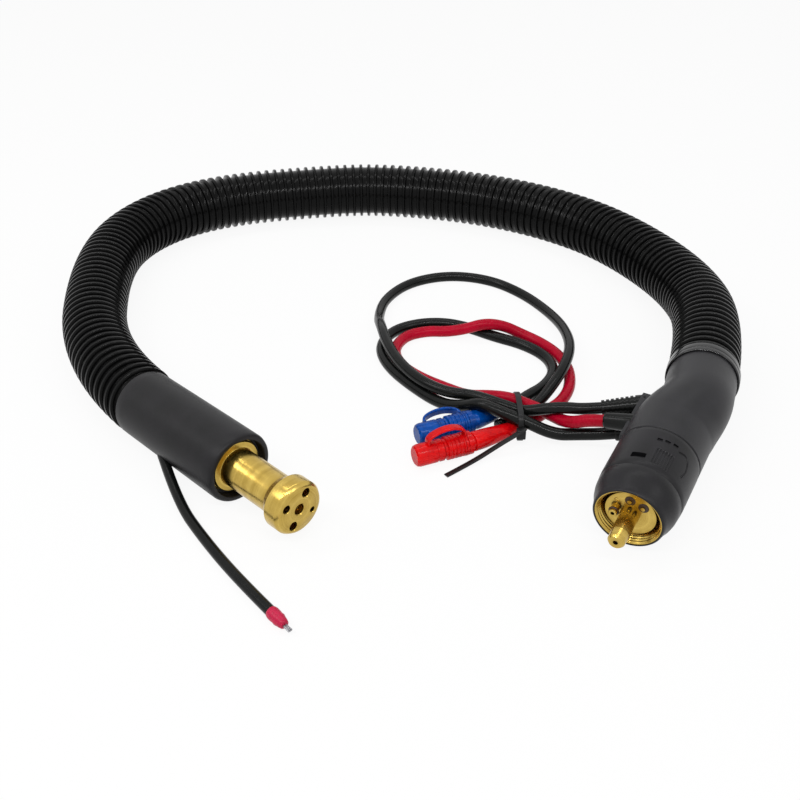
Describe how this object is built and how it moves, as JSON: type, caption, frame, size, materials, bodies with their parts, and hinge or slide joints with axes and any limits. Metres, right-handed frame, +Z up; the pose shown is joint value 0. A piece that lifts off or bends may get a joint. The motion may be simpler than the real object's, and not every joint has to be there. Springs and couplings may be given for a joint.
{
  "type": "welding torch cable assembly",
  "caption": "Water-cooled MIG welding torch cable assembly: corrugated hose with a machine plug at one end, brass neck block at the other, and colour-coded water leads.",
  "frame": {"origin": "middle of the assembly's box on the floor, taken without the loose leads", "axes": "+Z up from the floor, +X to the right as one stands facing the two ends, +Y away towards the hose's far bend"},
  "size_m": [0.4632, 0.5041, 0.0573],
  "materials": {
    "hose_black": "satin",
    "housing_grey": "matte",
    "nut_black": "satin",
    "gloss_black": "gloss",
    "boot_rubber": "matte",
    "lead_black": "satin",
    "lead_red": "satin",
    "tube_blue": "satin",
    "brass": "satin",
    "steel": "satin",
    "copper": "satin",
    "coupling_red": "gloss",
    "coupling_blue": "gloss",
    "bush_brown": "matte",
    "liner_white": "satin",
    "sleeve_pink": "satin",
    "wire_grey": "satin"
  },
  "bodies": {
    "nut": {"union_nut": "nut_black", "nut_insert": "brass"},
    "assembly": {"retaining_ring": "steel", "plug_body": "brass", "guide_pin": "brass", "liner_nipple": "brass", "gas_nipple": "brass", "gas_nipple_ring": "lead_black", "control_pin_bushes": "bush_brown", "control_spring_top": "steel", "control_spring_side": "steel", "housing_upper": "housing_grey", "housing_lower": "housing_grey", "housing_screws": "steel", "hose_clamp_ring": "gloss_black", "control_lead_relief": "gloss_black", "red_lead_sleeve": "gloss_black", "black_lead_sleeve": "gloss_black", "corrugated_hose": "hose_black", "end_boot": "boot_rubber", "torch_block": "brass", "power_cable_tube": "lead_black", "power_cable_core": "copper", "plug_crimp": "brass", "block_crimp": "brass", "wire_liner": "steel", "liner_end_bush": "liner_white", "gas_hose": "lead_black", "water_supply_hose": "tube_blue", "water_return_hose": "lead_red", "control_cable": "lead_black", "trigger_lead": "lead_black", "trigger_lead_tip": "sleeve_pink", "trigger_lead_wires": "wire_grey", "control_lead": "lead_black", "red_lead": "lead_red", "blue_lead": "lead_black", "control_lead_end": "gloss_black", "red_ferrule": "lead_red", "red_coupling": "coupling_red", "red_cap_strap": "coupling_red", "blue_ferrule": "tube_blue", "blue_coupling": "coupling_blue", "blue_cap_strap": "coupling_blue", "lead_tie": "gloss_black"},
    "top_pin": {"control_pin_top": "brass"},
    "side_pin": {"control_pin_side": "brass"},
    "red_dust_cap": {"red_cap": "coupling_red"},
    "blue_dust_cap": {"blue_cap": "coupling_blue"}
  },
  "joints": [
    {"name": "nut_spin", "type": "hinge", "parent": "assembly", "child": "nut", "pos_m": [0.12633, -0.21169, 0.02175], "axis": [-0.4745, -0.874, -0.1045], "continuous": true},
    {"name": "top_pin_push", "type": "slide", "parent": "assembly", "child": "top_pin", "axis": [0.4745, 0.874, 0.1045], "range_m": [0, 0.003], "stiffness_N_per_m": 300, "springref_m": -0.002, "deforming": ["control_spring_top"]},
    {"name": "side_pin_push", "type": "slide", "parent": "assembly", "child": "side_pin", "axis": [0.4745, 0.874, 0.1045], "range_m": [0, 0.003], "stiffness_N_per_m": 300, "springref_m": -0.002, "deforming": ["control_spring_side"]},
    {"name": "red_cap_pull", "type": "slide", "parent": "assembly", "child": "red_dust_cap", "axis": [-0.9205, -0.3907, 0], "range_m": [0, 0.012]},
    {"name": "blue_cap_pull", "type": "slide", "parent": "assembly", "child": "blue_dust_cap", "axis": [-0.9205, -0.3907, 0], "range_m": [0, 0.012]}
  ]
}
